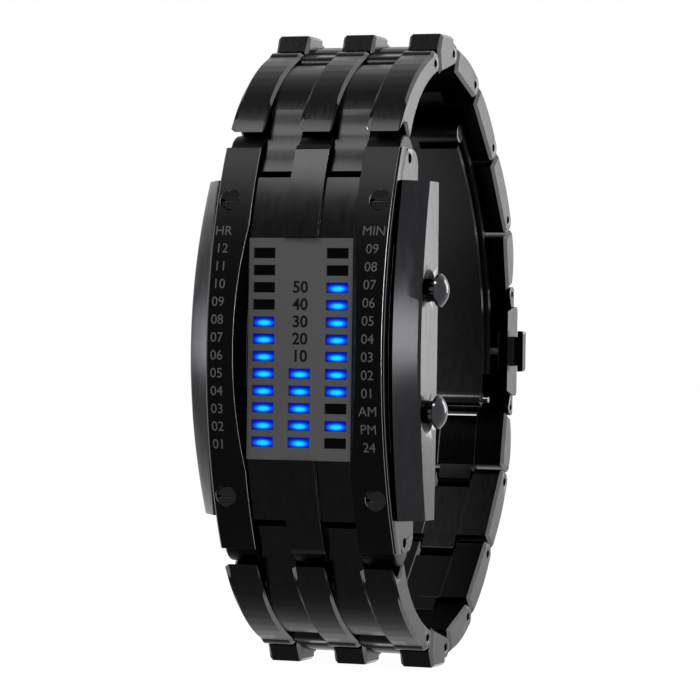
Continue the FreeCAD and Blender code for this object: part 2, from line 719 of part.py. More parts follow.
def tongue_outline(number):
    """Side outline of the tongue that turns on the near pin."""
    shallow = mm("wrist_side_recess")
    thick = mm("link_half_thickness") - shallow
    top = mm("link_half_thickness") - mm("inner_bar_recess")
    root = mm("link_nose_radius") + mm("link_end_gap") + 0.4
    if number == 1:
        reach = mm("end_tongue_reach")
        start = mm("end_link_reach") + 0.55
        rise = mm("end_link_height") - 1.15
        return [polar((0, 0), reach, 200.0), via(polar((0, 0), reach, 179.0), polar((0, 0), reach, 158.0)),
                via((start * 0.2, rise - 0.12), (start, rise)), (start + 0.5, rise - 0.1),
                (start + 0.5, 0.2), (start, -0.1), (0.6, -1.3)]
    return [(0, -thick), via((-top, (top - thick) * 0.5), (0, top)), (root, top - 0.02),
            (root, -thick + 0.02)]


def pattern(body, features, length, copies):
    """Copies of features along X, centred because the first copy stands at the far left."""
    made = body.newObject("PartDesign::LinearPattern", body.Name + "_row")
    if features:
        made.Originals = features
    else:
        made.TransformMode = "Whole shape"
    made.Direction = ([f for f in body.Origin.OriginFeatures if f.Role == "X_Axis"][0], [""])
    made.setExpression("Length", length)
    made.Occurrences = copies
    body.Tip = made
    doc.recompute()
    return made


def frame_of(number, lower):
    """Place of a link's own frame in the watch frame."""
    y, z = pins[number - 1]
    upper = FreeCAD.Placement(V(0, y, z), FreeCAD.Rotation(X_AXIS, angles[number - 1]))
    if not lower:
        return upper
    return FreeCAD.Placement(V(0, 0, 0), FreeCAD.Rotation(V(0, 1, 0), 180)).multiply(upper)


def make_link(name, number, lower):
    """One link: core, three outer bars with round noses and two tongues, with its pin holes."""
    bar = mm("bar_pitch")
    pitch = pitches[number - 1]
    rim = mm("bar_bevel")
    width = bar - run
    body = piece(name)
    places = [(0.0, rim), (rim, 0.0), (width - rim, 0.0), (width, rim)]
    sections = [sketch(body, "YZ_Plane", bar_outline(number, inset), -2 * bar - width / 2 + x)
                for x, inset in places]
    loft = body.newObject("PartDesign::AdditiveLoft", name + "_bar")
    loft.Profile = sections[0]
    loft.Sections = sections[1:]
    loft.Ruled = True
    doc.recompute()
    pattern(body, [], "sizes.bar_pitch * 4", 3)
    pad(body, sketch(body, "YZ_Plane", core_outline(number)), "sizes.bar_pitch * 4.4")
    tongue = pad(body, sketch(body, "YZ_Plane", tongue_outline(number), -bar),
                 "sizes.bar_pitch - sizes.running_clearance")
    pattern(body, [tongue], "sizes.bar_pitch * 2", 2)
    near_radius = "sizes.strap_pin_radius" if number == 1 else "sizes.link_pin_radius"
    bore(body, (-bar * 1.6, 0, 0), (1, 0, 0), near_radius + " + sizes.running_clearance",
         "sizes.bar_pitch * 3.2")
    if number < 6:
        bore(body, (-bar * 2.6, pitch, 0), (1, 0, 0), "sizes.link_pin_radius", "sizes.bar_pitch * 5.2")
    elif not lower:
        # knuckle that carries the clasp cover
        r = mm("knuckle_radius")
        arm = [(pitch - 3.2, -1.9), (pitch - 3.2, -0.9), (pitch - 0.5, r * 0.87),
               via((pitch + r, 0), (pitch, -r)), (pitch - 1.3, -1.9)]
        pad(body, sketch(body, "YZ_Plane", arm), "(sizes.hinge_split - sizes.running_clearance) * 2")
        bore(body, (-bar * 2, pitch, 0), (1, 0, 0), "sizes.hinge_pin_radius + sizes.running_clearance",
             "sizes.bar_pitch * 4")

    body.Placement = frame_of(number, lower)
    if number < 6:
        half = bar * 2.5 - mm("pin_inset")
        centre = frame_of(number, lower).multVec(V(0, pitch, 0))
        pin = Part.makeCylinder(mm("link_pin_radius") - clear / 2, half * 2, centre - V(half, 0, 0), X_AXIS)
        solid_piece(name.replace("link", "pin"), pin)


for number in range(1, 7):
    make_link(f"link_upper_{number}", number, False)
    make_link(f"link_lower_{number}", number, True)


# Folding clasp
def circle_through(a, b, c):
    """Centre and radius of the circle through three points."""
    arc = Part.Arc(V(a[0], a[1], 0), V(b[0], b[1], 0), V(c[0], c[1], 0)).toShape().Curve
    return (arc.Center.x, arc.Center.y), arc.Radius


def angle_at(centre, radius, z):
    """Direction in degrees of the point on the right of a circle at a height."""
    return math.degrees(math.asin((z - centre[1]) / radius))


def make_clasp():
    """Cover, its two blades that fold behind it, the side buttons and the hinge pins."""
    r = mm("knuckle_radius")
    half = mm("bar_pitch") * 2.5
    plate_in = cover_face - mm("cover_plate")
    length = mm("cover_half_length")
    split = mm("hinge_split")
    cover = piece("clasp_cover")
    edge = 0.35
    plate = [(plate_in, -length), (cover_face - edge, -length), (cover_face, -length + edge),
             (cover_face, length - edge), (cover_face - edge, length), (plate_in, length)]
    pad(cover, sketch(cover, "YZ_Plane", plate), "sizes.bar_pitch * 5")
    deep = cover_face - mm("cover_depth")
    wall = [(deep, -length + 0.6), (plate_in + 0.2, -length), (plate_in + 0.2, length), (deep, length - 0.6)]
    for offset in (-half, half - mm("cover_wall")):
        pad(cover, sketch(cover, "YZ_Plane", wall, offset), "sizes.cover_wall", symmetric=False)
    for sign in (1, -1):
        ear = [(plate_in, sign * (length - 0.8)),
               (plate_in + mm("cover_plate") - edge, sign * (length - 0.5)),
               (clasp_y + r * 0.8, sign * (clasp_z + r * 0.6)),
               via((clasp_y - r * 0.28, sign * (clasp_z + r * 0.96)), (clasp_y - r, sign * clasp_z)),
               (clasp_y - r * 0.6, sign * (clasp_z - r * 0.8))]
        for offset in (-half + 0.4, split):
            pad(cover, sketch(cover, "YZ_Plane", ear, offset),
                "sizes.bar_pitch * 2.5 - 0.4 - sizes.hinge_split", symmetric=False)
        bore(cover, (-half - 1, clasp_y, sign * clasp_z), (1, 0, 0), "sizes.hinge_pin_radius",
             "sizes.bar_pitch * 5 + 2")
    button_y = plate_in - 0.2 - mm("button_height") / 2
    slot = rectangle(button_y, 0, mm("button_height"), mm("button_stem_half_length") * 2)
    pocket(cover, sketch(cover, "YZ_Plane", slot), "sizes.bar_pitch * 5 + 4")
    post = rectangle(plate_in - 0.6, 0, 1.4, 2.4)
    pad(cover, sketch(cover, "YZ_Plane", post), "3.0")

    # side buttons, pressed towards each other
    for name, side in (("left", -1), ("right", 1)):
        button = piece("clasp_button_" + name)
        base = half - mm("cover_wall") - mm("button_flange") - 0.05
        y0, y1 = button_y - mm("button_height") / 2, button_y + mm("button_height") / 2
        z_head, z_stem = mm("button_half_length"), mm("button_stem_half_length") - run
        tip = half + mm("button_reach")
        head_start = half + mm("button_travel") + 0.05
        c = 0.35
        flange = base + mm("button_flange")
        path = [(side * base, -z_head), (side * flange, -z_head), (side * flange, -z_stem),
                (side * head_start, -z_stem), (side * head_start, -z_head), (side * (tip - c), -z_head),
                via((side * (tip - c * 0.3), -z_head + c * 0.3), (side * tip, -z_head + c)),
                (side * tip, z_head - c),
                via((side * (tip - c * 0.3), z_head - c * 0.3), (side * (tip - c), z_head)),
                (side * head_start, z_head), (side * head_start, z_stem), (side * flange, z_stem),
                (side * flange, z_head), (side * base, z_head)]
        drawing = sketch(button, "XZ_Plane", path, -(y0 + run))
        pad(button, drawing, "sizes.button_height - sizes.running_clearance * 2", symmetric=False,
            reverse=True)
        start = 1.5 if side > 0 else -base
        spring = Part.makeCylinder(0.45, base - 1.5, V(start, button_y, 0), X_AXIS)
        solid_piece("button_spring_" + name, spring)

    # blades on one circle that follows the inner side of the closed bracelet
    centre, radius = circle_through(pins[3], pins[5], (clasp_y, -clasp_z))
    outer_radius = radius - mm("blade_inset")
    t = mm("blade_thickness")
    top = mm("blade_top_angle")
    step = mm("blade_spacing")
    hinge = polar(centre, outer_radius - t / 2 - step / 2, top)
    low = angle_at(centre, outer_radius, -clasp_z + 3.0)
    middle = (low + top) / 2
    lower_pin = (clasp_y, -clasp_z)
    blade_a = piece("clasp_blade_a")
    inner_radius = outer_radius - t
    path = [polar(centre, outer_radius, low),
            via(polar(centre, outer_radius, middle), polar(centre, outer_radius, top)),
            polar(centre, inner_radius, top),
            via(polar(centre, inner_radius, middle), polar(centre, inner_radius, low)),
            (clasp_y - r, -clasp_z - 0.2), via((clasp_y + r * 0.7, -clasp_z - r * 0.7), (clasp_y + r * 0.7,
             -clasp_z + r * 0.7))]
    pad(blade_a, sketch(blade_a, "YZ_Plane", path), "(sizes.hinge_split - sizes.running_clearance) * 2")
    wide = [polar(centre, outer_radius, low + 2), via(polar(centre, outer_radius, middle),
            polar(centre, outer_radius, top)), polar(centre, inner_radius, top),
            via(polar(centre, inner_radius, middle), polar(centre, inner_radius, low + 2))]
    pad(blade_a, sketch(blade_a, "YZ_Plane", wide), "sizes.blade_half_width * 2")
    knuckle = mm("blade_eye_radius")
    bore(blade_a, (-mm("blade_eye_reach") - run, hinge[0], hinge[1]), (1, 0, 0),
         "sizes.blade_eye_radius + 0.25", "(sizes.blade_eye_reach + sizes.running_clearance) * 2")
    eye = [(hinge[0] - knuckle, hinge[1]),
           via((hinge[0], hinge[1] + knuckle), (hinge[0] + knuckle, hinge[1])),
           via((hinge[0], hinge[1] - knuckle), (hinge[0] - knuckle, hinge[1]))]
    for offset in (-mm("blade_half_width"), mm("blade_eye_reach")):
        pad(blade_a, sketch(blade_a, "YZ_Plane", eye, offset),
            "sizes.blade_half_width - sizes.blade_eye_reach", symmetric=False)
    bore(blade_a, (-half, hinge[0], hinge[1]), (1, 0, 0), "sizes.hinge_pin_radius", "sizes.bar_pitch * 5")
    bore(blade_a, (-half, clasp_y, -clasp_z), (1, 0, 0), "sizes.hinge_pin_radius + sizes.running_clearance",
         "sizes.bar_pitch * 5")

    blade_b = piece("clasp_blade_b")
    outer_b = outer_radius - step
    inner_b = outer_b - t
    end = angle_at(centre, outer_b - t / 2, mm("blade_b_end_z"))
    past = top - 2.6
    middle = (end + past) / 2
    path = [polar(centre, outer_b, end), via(polar(centre, outer_b, middle), polar(centre, outer_b, past)),
            polar(centre, inner_b, past), via(polar(centre, inner_b, middle), polar(centre, inner_b, end))]
    pad(blade_b, sketch(blade_b, "YZ_Plane", path), "(sizes.blade_half_width - 0.5) * 2")
    eye_b = [polar(centre, outer_b, past - 1.0), polar(hinge, 0.9, 40),
             via(polar(hinge, 0.9, 130), polar(hinge, 0.9, 220)), polar(centre, inner_b, past - 1.0)]
    pad(blade_b, sketch(blade_b, "YZ_Plane", eye_b),
        "(sizes.blade_eye_reach - sizes.running_clearance) * 2")
    bore(blade_b, (-half, hinge[0], hinge[1]), (1, 0, 0), "sizes.hinge_pin_radius + sizes.running_clearance",
         "sizes.bar_pitch * 5")
    foot = polar(centre, outer_b - t / 2, end)
    roll = [(foot[0] - 0.9, foot[1]), via((foot[0], foot[1] + 0.9), (foot[0] + 0.9, foot[1])),
            via((foot[0], foot[1] - 0.9), (foot[0] - 0.9, foot[1]))]
    pad(blade_b, sketch(blade_b, "YZ_Plane", roll), "(sizes.blade_half_width - 0.5) * 2")
    bore(blade_b, (-half, foot[0], foot[1]), (1, 0, 0), "sizes.hinge_pin_radius", "sizes.bar_pitch * 5")

    def pin(name, point, reach):
        rod = Part.makeCylinder(mm("hinge_pin_radius") - clear / 2, reach * 2,
                                V(-reach, point[0], point[1]), X_AXIS)
        solid_piece(name, rod)

    pin("cover_pins", (clasp_y, clasp_z), half - 0.6)
    pin("blade_pin_lower", lower_pin, half - 0.6)
    pin("blade_pin_upper", hinge, mm("blade_half_width") - 0.1)
    pin("clasp_spring_bar", foot, mm("blade_half_width") + 0.4)


make_clasp()
doc.recompute()

os.makedirs("parts", exist_ok=True)
for made in PIECES:
    made.Placement = FreeCAD.Placement(HOME, FreeCAD.Rotation()).multiply(made.Placement)
doc.recompute()
for item in doc.Objects:
    if "Invalid" in item.State or "Error" in item.State:
        raise RuntimeError(f"{item.Label}: state {item.State}")
for made in PIECES:
    shape = made.Shape
    if shape.isNull() or not shape.isValid() or not shape.Solids:
        raise RuntimeError(f"{made.Label}: no valid solid")
    shape.exportStep(f"parts/{made.Label}.step")

print("Pieces written:", len(PIECES))
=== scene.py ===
"""Looks of a black binary wristwatch that stands on its closed bar-link bracelet."""
import json
import math

import bpy
from mathutils import Matrix, Quaternion, Vector

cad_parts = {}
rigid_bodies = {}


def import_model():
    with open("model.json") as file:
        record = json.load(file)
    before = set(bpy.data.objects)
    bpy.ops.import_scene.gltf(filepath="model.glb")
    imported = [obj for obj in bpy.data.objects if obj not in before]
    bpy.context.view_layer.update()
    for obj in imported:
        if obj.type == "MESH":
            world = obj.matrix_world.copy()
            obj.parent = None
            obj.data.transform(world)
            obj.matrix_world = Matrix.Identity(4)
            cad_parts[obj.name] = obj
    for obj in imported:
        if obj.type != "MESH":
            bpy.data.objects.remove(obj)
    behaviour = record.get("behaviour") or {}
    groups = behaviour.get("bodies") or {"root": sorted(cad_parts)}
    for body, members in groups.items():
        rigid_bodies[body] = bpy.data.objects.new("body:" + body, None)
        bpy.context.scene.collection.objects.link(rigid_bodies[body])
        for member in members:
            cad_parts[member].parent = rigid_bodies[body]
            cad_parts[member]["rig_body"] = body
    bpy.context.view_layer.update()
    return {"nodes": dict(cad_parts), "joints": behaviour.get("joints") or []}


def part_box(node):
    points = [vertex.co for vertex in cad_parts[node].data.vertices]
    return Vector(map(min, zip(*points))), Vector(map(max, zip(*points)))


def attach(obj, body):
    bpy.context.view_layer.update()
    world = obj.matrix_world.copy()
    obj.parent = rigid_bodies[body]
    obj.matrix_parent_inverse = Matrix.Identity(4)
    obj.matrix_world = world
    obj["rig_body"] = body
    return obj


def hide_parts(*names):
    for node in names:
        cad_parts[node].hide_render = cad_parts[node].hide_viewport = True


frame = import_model()

# Camera and studio. The watch stands on a white table in front of a white wall. Box lights stand
# in front of it on the right, behind it on the right, above it and, weaker, on its left.
MM = 0.001
CAMERA_PLACE = Vector((138.275, -390.762, 39.329)) * MM
CAMERA_TARGET = Vector((5.542, -25.762, 38.181)) * MM
CAMERA_ROLL = 0.0142
LENS = 173.65
SENSOR_WIDTH = 36
NEAREST = 0.01

camera_data = bpy.data.cameras.new("photo_camera")
camera = bpy.data.objects.new("photo_camera", camera_data)
bpy.context.scene.collection.objects.link(camera)
bpy.context.scene.camera = camera
camera_data.lens = LENS
camera_data.sensor_width = SENSOR_WIDTH
camera_data.clip_start = NEAREST
camera.location = CAMERA_PLACE
camera.rotation_mode = "QUATERNION"
aim = (CAMERA_TARGET - CAMERA_PLACE).to_track_quat("-Z", "Y")
camera.rotation_quaternion = aim @ Quaternion((0, 0, 1), CAMERA_ROLL)
bpy.context.scene.view_settings.view_transform = "Standard"


def maths(tree, operation, *terms):
    """The result of a math node whose terms are numbers or other nodes' results."""
    node = tree.nodes.new("ShaderNodeMath")
    node.operation = operation
    for socket, term in zip(node.inputs, terms):
        if isinstance(term, (int, float)):
            socket.default_value = term
        else:
            tree.links.new(term, socket)
    return node.outputs[0]


def seen_directly(tree):
    """1 for what the camera sees, also by way of metal or glass, and 0 for what lights the object."""
    ray = tree.nodes.new("ShaderNodeLightPath").outputs
    mirrored = maths(tree, "MAXIMUM", ray["Is Camera Ray"], ray["Is Glossy Ray"])
    return maths(tree, "MAXIMUM", mirrored, ray["Is Transmission Ray"])


WORLD_LIGHT = 0.45
WHITE = (1, 1, 1, 1)
world = bpy.data.worlds.new("studio")
world.use_nodes = True
bpy.context.scene.world = world
sky = world.node_tree
shown = sky.nodes["Background"]
shown.inputs["Color"].default_value = WHITE
lit = sky.nodes.new("ShaderNodeBackground")
lit.inputs["Color"].default_value = WHITE
lit.inputs["Strength"].default_value = WORLD_LIGHT
either = sky.nodes.new("ShaderNodeMixShader")
sky.links.new(seen_directly(sky), either.inputs[0])
sky.links.new(lit.outputs[0], either.inputs[1])
sky.links.new(shown.outputs[0], either.inputs[2])
sky.links.new(either.outputs[0], sky.nodes["World Output"].inputs["Surface"])

WATCH_MIDDLE = Vector((0, -0.01, 0.04))


def area_light(name, place, size, power):
    """A rectangular box light that faces the watch."""
    data = bpy.data.lights.new(name, "AREA")
    data.shape = "RECTANGLE"
    data.size, data.size_y = size
    data.energy = power
    lamp = bpy.data.objects.new(name, data)
    bpy.context.scene.collection.objects.link(lamp)
    lamp.location = place
    lamp.rotation_mode = "QUATERNION"
    lamp.rotation_quaternion = (WATCH_MIDDLE - Vector(place)).to_track_quat("-Z", "Y")


area_light("right_box", place=(0.36, -0.52, 0.12), size=(0.10, 0.60), power=3.0)
area_light("rear_box", place=(0.34, 0.52, 0.10), size=(0.22, 0.45), power=2.3)
area_light("top_box", place=(-0.20, -0.30, 0.44), size=(0.26, 0.12), power=2.6)
area_light("left_box", place=(-0.50, -0.16, 0.12), size=(0.05, 0.45), power=1.2)


def new_material(name):
    """A material with its node tree and its Principled shader."""
    made = bpy.data.materials.new(name)
    made.use_nodes = True
    tree = made.node_tree
    return made, tree, tree.nodes["Principled BSDF"]


TABLE_SIZE = 6
TABLE_COLOUR = (0.8, 0.8, 0.8, 1)
TABLE_ROUGHNESS = 0.9
TABLE_GLOW = 1.03
GLOW_SHARE = 0.95
bpy.ops.object.select_all(action="DESELECT")
bpy.ops.mesh.primitive_plane_add(size=TABLE_SIZE, location=(0, 0, 0))
table = bpy.context.object
table.name = "table"
paper, tree, shader = new_material("white_table")
shader.inputs["Base Color"].default_value = TABLE_COLOUR
shader.inputs["Roughness"].default_value = TABLE_ROUGHNESS
glow = tree.nodes.new("ShaderNodeEmission")
glow.inputs["Strength"].default_value = TABLE_GLOW
blend = tree.nodes.new("ShaderNodeMixShader")
tree.links.new(maths(tree, "MULTIPLY", seen_directly(tree), GLOW_SHARE), blend.inputs[0])
tree.links.new(shader.outputs[0], blend.inputs[1])
tree.links.new(glow.outputs[0], blend.inputs[2])
tree.links.new(blend.outputs[0], tree.nodes["Material Output"].inputs["Surface"])
table.data.materials.append(paper)

# Case body. One block of steel with its lugs and the bars that carry the bracelet's lines up to
# the dial, milled, polished and then plated black in a vacuum, as are all the steel parts.
BLACK = (0.006, 0.006, 0.0062)
GRAIN_DETAIL = 6.0
LEAST_ROUGH, MOST_ROUGH = 0.8, 1.25
DARKEST, LIGHTEST = 0.75, 1.3
RELIEF_STRENGTH = 0.5
EVEN = (1, 1, 1)


def colour_ramp(tree, stops):
    """A ramp that goes through the given places and colours."""
    ramp = tree.nodes.new("ShaderNodeValToRGB")
    marks = ramp.color_ramp.elements
    marks[0].position = stops[0][0]
    marks[1].position = stops[-1][0]
    for position, _ in stops[1:-1]:
        marks.new(position)
    for mark, (_, colour) in zip(marks, stops):
        mark.color = (*colour, 1)
    return ramp


def grained(name, colour, roughness, grain=EVEN, size=2.5, relief=0.006, metallic=1.0):
    """A plated or moulded finish whose tone and polish vary a little along its grain."""
    made, tree, shader = new_material(name)
    place = tree.nodes.new("ShaderNodeTexCoord")
    stretch = tree.nodes.new("ShaderNodeMapping")
    stretch.inputs["Scale"].default_value = [g / MM for g in grain]
    tree.links.new(place.outputs["Object"], stretch.inputs["Vector"])
    noise = tree.nodes.new("ShaderNodeTexNoise")
    noise.inputs["Scale"].default_value = size
    noise.inputs["Detail"].default_value = GRAIN_DETAIL
    tree.links.new(stretch.outputs[0], noise.inputs["Vector"])
    polish = tree.nodes.new("ShaderNodeMapRange")
    polish.inputs["To Min"].default_value = roughness * LEAST_ROUGH
    polish.inputs["To Max"].default_value = roughness * MOST_ROUGH
    tree.links.new(noise.outputs["Fac"], polish.inputs["Value"])
    tree.links.new(polish.outputs[0], shader.inputs["Roughness"])
    tone = colour_ramp(tree, ((0.0, [c * DARKEST for c in colour]),
                              (1.0, [c * LIGHTEST for c in colour])))
    tree.links.new(noise.outputs["Fac"], tone.inputs["Fac"])
    tree.links.new(tone.outputs["Color"], shader.inputs["Base Color"])
    bump = tree.nodes.new("ShaderNodeBump")
    bump.inputs["Strength"].default_value = RELIEF_STRENGTH
    bump.inputs["Distance"].default_value = relief * MM
    tree.links.new(noise.outputs["Fac"], bump.inputs["Height"])
    tree.links.new(bump.outputs[0], shader.inputs["Normal"])
    shader.inputs["Metallic"].default_value = metallic
    return made


MERGE_GAP = 0.000002
FINE_ANGLE = 0.02
COARSE_ANGLE = 0.5
EDGE_ANGLE = math.radians(28)
EDGE_STEPS = 2
SMOOTH_ANGLE = math.radians(35)


def dressed(node, name, material, round_mm, shape=None, flat_angle=FINE_ANGLE):
    """A closed copy of a CAD node with rounded edges that stands for it; shape() may bend it first."""
    bpy.ops.object.select_all(action="DESELECT")
    source = frame["nodes"][node]
    piece = source.copy()
    piece.data = source.data.copy()
    for key in list(piece.keys()):
        del piece[key]
    bpy.context.scene.collection.objects.link(piece)
    piece.parent = None
    piece.name = name
    piece.select_set(True)
    bpy.context.view_layer.objects.active = piece
    piece.data.materials.clear()
    piece.data.materials.append(material)
    bpy.ops.object.mode_set(mode="EDIT")
    bpy.ops.mesh.select_all(action="SELECT")
    bpy.ops.mesh.remove_doubles(threshold=MERGE_GAP)
    bpy.ops.mesh.dissolve_limited(angle_limit=math.radians(flat_angle))
    bpy.ops.object.mode_set(mode="OBJECT")
    if shape:
        shape(piece)
    edge = piece.modifiers.new("rounded_edges", "BEVEL")
    edge.width = round_mm * MM
    edge.segments = EDGE_STEPS
    edge.limit_method = "ANGLE"
    edge.angle_limit = EDGE_ANGLE
    edge.use_clamp_overlap = True
    bpy.ops.object.modifier_apply(modifier=edge.name)
    bpy.ops.object.shade_smooth_by_angle(angle=SMOOTH_ANGLE)
    if flat_angle < COARSE_ANGLE:
        even = piece.modifiers.new("even_shading", "WEIGHTED_NORMAL")
        even.keep_sharp = True
        bpy.ops.object.modifier_apply(modifier=even.name)
    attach(piece, source["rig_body"])
    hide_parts(node)
    return piece


FLANK_LOW, FLANK_HIGH = 0.1, 0.98
BEVEL_LOW, BEVEL_HIGH = 0.35, 0.93


def polish_flanks_paint_highlights(piece, polished, bright, widest):
    """The flanks are polished, and narrow bevels that face right get a painted highlight."""
    piece.data.materials.append(polished)
    piece.data.materials.append(bright)
    points = piece.data.vertices
    for face in piece.data.polygons:
        if FLANK_LOW < abs(face.normal.x) < FLANK_HIGH:
            face.material_index = 1
        outline = sum((points[a].co - points[b].co).length for a, b in face.edge_keys)
        if BEVEL_LOW < face.normal.x < BEVEL_HIGH and 2 * face.area / outline < widest * MM:
            face.material_index = 2


CASE_RADIUS = 53.8 * MM
left_low, left_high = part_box("rail_left")
DIAL_X = (left_low.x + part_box("rail_right")[1].x) / 2
DIAL_Y = left_low.y
DIAL_Z = (left_low.z + left_high.z) / 2
DOME_LIMIT = math.cos(math.radians(4))


def true_dome(piece):
    """Shades the domed front as the round surface that its facets follow."""
    mesh = piece.data
    middle = Vector((0, DIAL_Y + CASE_RADIUS, DIAL_Z))
    normals = [corner.vector.copy() for corner in mesh.corner_normals]
    for face in mesh.polygons:
        for corner in face.loop_indices:
            place = mesh.vertices[mesh.loops[corner].vertex_index].co
            outwards = Vector((0, place.y - middle.y, place.z - middle.z)).normalized()
            if face.normal.dot(outwards) > DOME_LIMIT:
                normals[corner] = outwards
    mesh.normals_split_custom_set(normals)


CASE_ROUND = 0.13
CASE_BEVEL = 0.22
case_steel = grained("plated_case", BLACK, 0.20, grain=(1, 1, 0.15), size=1.5, relief=0.002)
case_polish = grained("plated_case_polish", BLACK, 0.16)
# A lighter copy of the black plating, put on the narrow bevels that face right as a painted highlight.
painted_edge_highlight = grained("plated_bright_edge", (0.36, 0.36, 0.365), 0.2, size=1.2, relief=0.001)
case = dressed("case_body", "case_block", case_steel, CASE_ROUND)
polish_flanks_paint_highlights(case, case_polish, painted_edge_highlight, CASE_BEVEL)
true_dome(case)

# Lug knuckles. The case's lugs end in round knuckles about the spring bars, one under each outer
# bar of the end link. They are turned on the case's own steel and painted much darker, as painted
# shade in the gap.
KNUCKLE_RADIUS = 2.75 * MM
KNUCKLE_RIM = 0.3 * MM
KNUCKLE_SIDES = 64
RIM_STEPS = 3
RIM_ANGLE = math.radians(60)
BAR_PITCH = 4.24 * MM
OUTER_BARS = (-2, 0, 2)
# A much darker copy of the plating: painted shade on the knuckles in the gap and on the rails' inner
# slopes.
painted_shade_steel = grained("plated_painted_shade", (0.0014, 0.0014, 0.0015), 0.45)
joint_place = {joint["name"]: Vector(joint["pos_m"]) for joint in frame["joints"]
               if "pos_m" in joint}


def joined(pieces, name, body):
    """Several small meshes as one piece that rides on a body."""
    bpy.ops.object.select_all(action="DESELECT")
    for one in pieces:
        one.select_set(True)
    bpy.context.view_layer.objects.active = pieces[0]
    bpy.ops.object.join()
    whole = bpy.context.object
    whole.name = name
    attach(whole, body)
    return whole


for half in ("upper", "lower"):
    pin = joint_place[f"link_{half}_1_turn"]
    low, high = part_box(f"link_{half}_1")
    bar_width = (high.x - low.x) - 4 * BAR_PITCH
    knuckles = []
    for bar in OUTER_BARS:
        bpy.ops.object.select_all(action="DESELECT")
        place = ((low.x + high.x) / 2 + bar * BAR_PITCH, pin.y, pin.z)
        bpy.ops.mesh.primitive_cylinder_add(vertices=KNUCKLE_SIDES, radius=KNUCKLE_RADIUS,
                                            depth=bar_width, location=place,
                                            rotation=(0, math.pi / 2, 0))
        knuckle = bpy.context.object
        bpy.ops.object.transform_apply(location=True, rotation=True, scale=True)
        knuckle.data.materials.append(painted_shade_steel)
        rim = knuckle.modifiers.new("knuckle_rim", "BEVEL")
        rim.width = KNUCKLE_RIM
        rim.segments = RIM_STEPS
        rim.limit_method = "ANGLE"
        rim.angle_limit = RIM_ANGLE
        bpy.ops.object.modifier_apply(modifier=rim.name)
        bpy.ops.object.shade_smooth_by_angle(angle=SMOOTH_ANGLE)
        knuckles.append(knuckle)
    joined(knuckles, "lug_knuckles_" + half, "case")

# Rails. Two curved steel bars beside the dial, screwed down at both ends. The flat face is
# satin and the flanks are polished; the narrow bevels that face right carry a painted highlight,
# and the inner flank, which slopes down to the dial, is painted dark as painted shade.
RAIL_ROUND = 0.10
RAIL_BEVEL = 0.15
SLOPE_LEAN = 0.3
rail_satin = grained("plated_rail_satin", (0.0036, 0.0036, 0.0038), 0.32, grain=(1, 1, 0.08),
                     size=6, relief=0.004)
rail_polish = grained("plated_rail_polish", BLACK, 0.16)
for side, inwards in (("left", 1), ("right", -1)):
    rail = dressed("rail_" + side, "rail_bar_" + side, rail_satin, RAIL_ROUND,
                   flat_angle=COARSE_ANGLE)
    polish_flanks_paint_highlights(rail, rail_polish, painted_edge_highlight, RAIL_BEVEL)
    true_dome(rail)
    rail.data.materials.append(painted_shade_steel)
    for face in rail.data.polygons:
        if face.normal.x * inwards > SLOPE_LEAN and face.material_index == 1:
            face.material_index = 3

# Rail numerals. The hours and the minutes are pad printed on the rails in pale grey ink, one
# row beside each row of lamps, and follow the rails' curve.
NUMERAL_HEIGHT = 1.12 * MM
NUMERAL_PITCH = 2.08 * MM
NUMERAL_X = {"left": -9.60 * MM, "right": 9.05 * MM}
TOP_NUMERAL_Z = 11.62 * MM
CAPITAL_SHARE = 0.70
CURVE_STEPS = 4
INK_THICKNESS = 0.012 * MM
INK_WEAR = 0.8
WEAR_SIZE = 9 / MM
INK_ROUGHNESS = 0.6
INK_GLOSS = 0.05


def ink(name, colour):
    """Slightly worn printing ink."""
    made, tree, shader = new_material(name)
    place = tree.nodes.new("ShaderNodeTexCoord")
    noise = tree.nodes.new("ShaderNodeTexNoise")
    noise.inputs["Scale"].default_value = WEAR_SIZE
    tree.links.new(place.outputs["Object"], noise.inputs["Vector"])
    wear = colour_ramp(tree, ((0.0, [c * INK_WEAR for c in colour]), (1.0, colour)))
    tree.links.new(noise.outputs["Fac"], wear.inputs["Fac"])
    tree.links.new(wear.outputs["Color"], shader.inputs["Base Color"])
    shader.inputs["Roughness"].default_value = INK_ROUGHNESS
    shader.inputs["Specular IOR Level"].default_value = INK_GLOSS
    return made


def printed(word, height, x, z, depth, material, radius=0.0, weight=0.0):
    """One printed word at its place from the dial's middle, on a flat or domed front."""
    bpy.ops.object.select_all(action="DESELECT")
    bpy.ops.object.text_add()
    text = bpy.context.object
    text.data.body = word
    text.data.align_x = "CENTER"
    text.data.align_y = "CENTER"
    text.data.size = height / CAPITAL_SHARE
    text.data.resolution_u = CURVE_STEPS
    text.data.extrude = INK_THICKNESS
    text.data.offset = weight
    text.data.materials.append(material)
    bpy.ops.object.convert(target="MESH")
    lean = math.asin(z / radius) if radius else 0.0
    drop = radius - math.sqrt(radius * radius - z * z) if radius else 0.0
    spot = Vector((DIAL_X + x, DIAL_Y + depth + drop, DIAL_Z + z))
    text.data.transform(Matrix.Translation(spot) @ Matrix.Rotation(math.pi / 2 - lean, 4, "X"))
    text.matrix_world = Matrix.Identity(4)
    return text


grey_ink = ink("pale_grey_ink", (0.046, 0.046, 0.047))
HOUR_WORDS = ["HR"] + [f"{hour:02d}" for hour in range(12, 0, -1)]
MINUTE_WORDS = ["MIN"] + [f"{minute:02d}" for minute in range(9, 0, -1)] + ["AM", "PM", "24"]
for side, words in (("left", HOUR_WORDS), ("right", MINUTE_WORDS)):
    rows = []
    for row, word in enumerate(words):
        z = TOP_NUMERAL_Z - (row - 1) * NUMERAL_PITCH
        rows.append(printed(word, NUMERAL_HEIGHT, NUMERAL_X[side], z, -INK_THICKNESS / 2,
                            grey_ink, radius=CASE_RADIUS))
    joined(rows, "numerals_" + side, "case")
